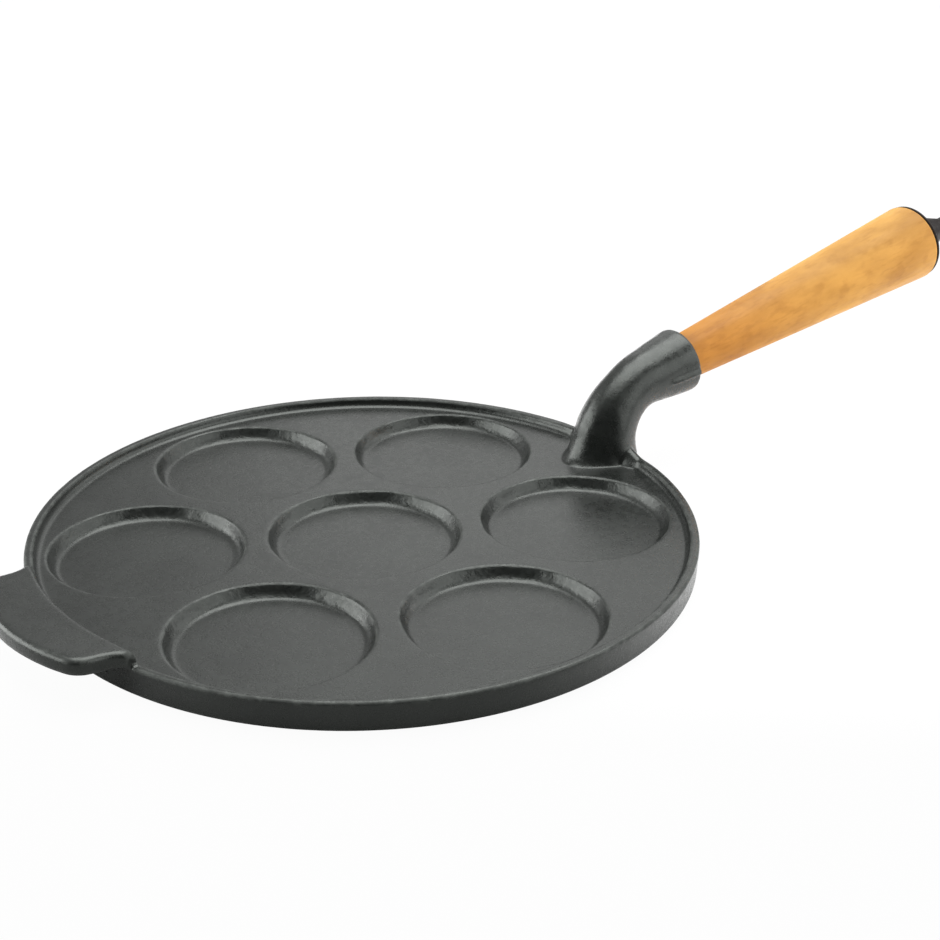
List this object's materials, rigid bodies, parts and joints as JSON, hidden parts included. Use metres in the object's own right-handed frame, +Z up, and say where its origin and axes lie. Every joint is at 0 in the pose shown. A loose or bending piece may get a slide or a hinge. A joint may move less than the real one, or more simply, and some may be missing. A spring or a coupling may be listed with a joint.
{
  "type": "blini pan",
  "caption": "Round cast-iron blini pan: shallow round wells inside a low rim, a flat lug opposite a gooseneck socket, and a turned beech handle with a hanging eye.",
  "frame": {"origin": "middle of the pan's flat underside", "axes": "+Z up out of the wells, +X along the handle, +Y across the pan"},
  "size_m": [0.4575, 0.2302, 0.074],
  "materials": {
    "pan_iron": "satin, fine cast grain",
    "beech": "turned, clear satin varnish",
    "rod_steel": "zinc plated",
    "black_steel": "black, semi-gloss"
  },
  "bodies": {
    "root": {"pan_casting": "pan_iron", "beech_handle": "beech", "tie_rod": "rod_steel", "end_washer": "black_steel", "hanging_eye": "black_steel"}
  },
  "joints": []
}
